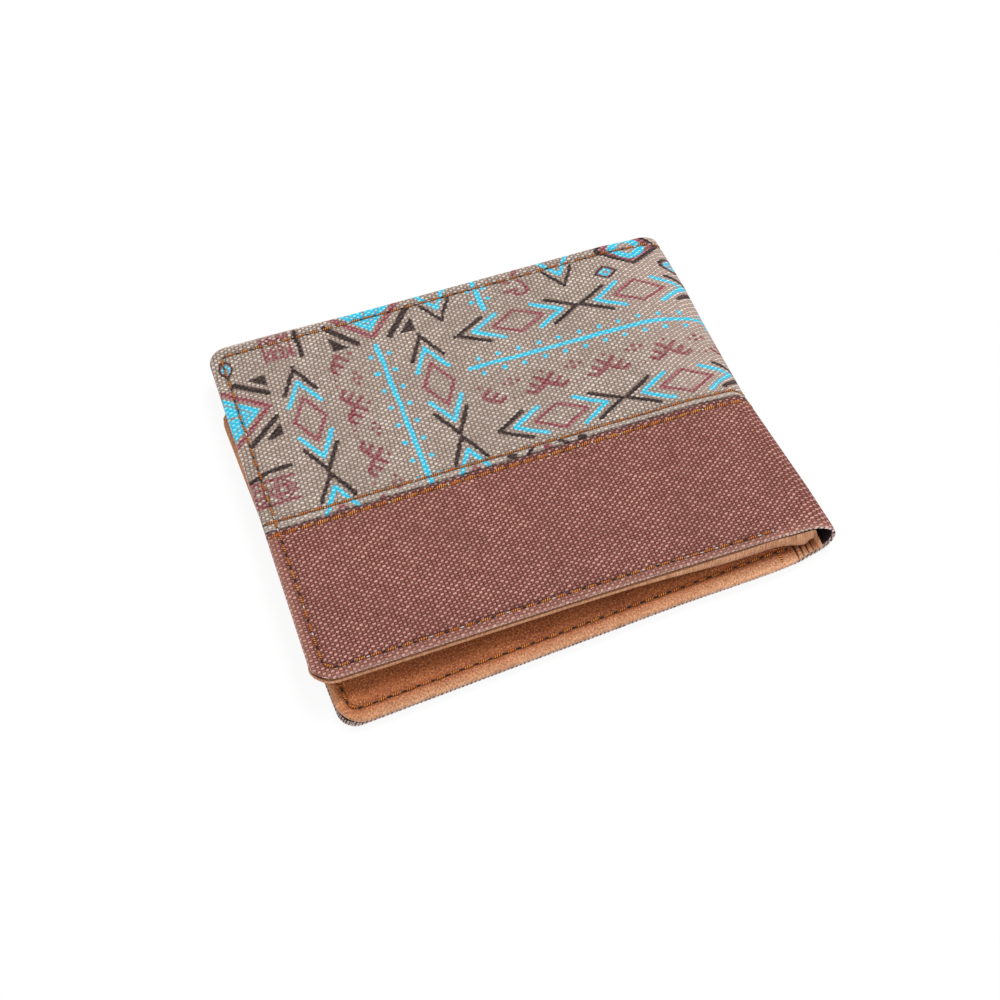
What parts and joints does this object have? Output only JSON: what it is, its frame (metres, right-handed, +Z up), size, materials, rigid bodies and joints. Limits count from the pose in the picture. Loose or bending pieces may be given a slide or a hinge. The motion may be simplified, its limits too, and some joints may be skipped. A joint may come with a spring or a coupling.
{
  "type": "bifold wallet",
  "caption": "Bifold wallet of patterned canvas over leather, with stepped card pockets, a bill compartment and a fold at the spine, lying closed.",
  "frame": {"origin": "on the ground, under the middle of the closed wallet's box", "axes": "+Z up through the closed leaves, +X from the free edges towards the spine, +Y from the bottom edge towards the top edge where the bill compartment opens"},
  "size_m": [0.114, 0.0976, 0.007],
  "materials": {
    "print_canvas": "coarse canvas with a woven-in geometric print",
    "brown_canvas": "coarse plain canvas, reddish brown",
    "lining": "thin black woven lining",
    "leather": "tan leather, grained, darker with wear",
    "thread": "waxed thread, orange brown"
  },
  "bodies": {
    "back_leaf": {"back_print_canvas": "print_canvas", "back_brown_canvas": "brown_canvas", "back_shell_lining": "lining", "back_bill_divider": "lining", "back_leather_panel": "leather", "back_card_pocket_1": "leather", "back_card_pocket_2": "leather", "back_card_pocket_3": "leather", "back_card_pocket_4": "leather", "back_edge_thread": "thread", "back_print_seam_thread": "thread", "back_brown_seam_thread": "thread"},
    "spine_back": {"spine_back_print_canvas": "print_canvas", "spine_back_brown_canvas": "brown_canvas", "spine_back_shell_lining": "lining", "spine_back_bill_divider": "lining", "spine_back_fold_leather": "leather"},
    "spine_front": {"spine_front_print_canvas": "print_canvas", "spine_front_brown_canvas": "brown_canvas", "spine_front_shell_lining": "lining", "spine_front_bill_divider": "lining", "spine_front_fold_leather": "leather"},
    "front_leaf": {"front_print_canvas": "print_canvas", "front_brown_canvas": "brown_canvas", "front_shell_lining": "lining", "front_bill_divider": "lining", "front_leather_panel": "leather", "front_card_pocket_1": "leather", "front_card_pocket_2": "leather", "front_card_pocket_3": "leather", "front_card_pocket_4": "leather", "front_edge_thread": "thread", "front_print_seam_thread": "thread", "front_brown_seam_thread": "thread"}
  },
  "joints": [
    {"name": "back_fold", "type": "hinge", "parent": "back_leaf", "child": "spine_back", "pos_m": [0.05445, -0.00373, 0], "axis": [0.0227, 0.9997, 0], "range_deg": [0, 90]},
    {"name": "spine_slip", "type": "slide", "parent": "spine_back", "child": "spine_front", "axis": [-0.0227, -0.9997, 0], "range_m": [0, 0.0027]},
    {"name": "front_fold", "type": "hinge", "parent": "spine_front", "child": "front_leaf", "pos_m": [0.05451, -0.00103, 0.007], "axis": [0.0227, 0.9997, 0], "range_deg": [0, 90]}
  ],
  "couplings": [
    {"joint": "spine_slip", "follows": "back_fold", "m_per_rad": 0.0017188},
    {"joint": "front_fold", "follows": "back_fold", "ratio": 1}
  ]
}
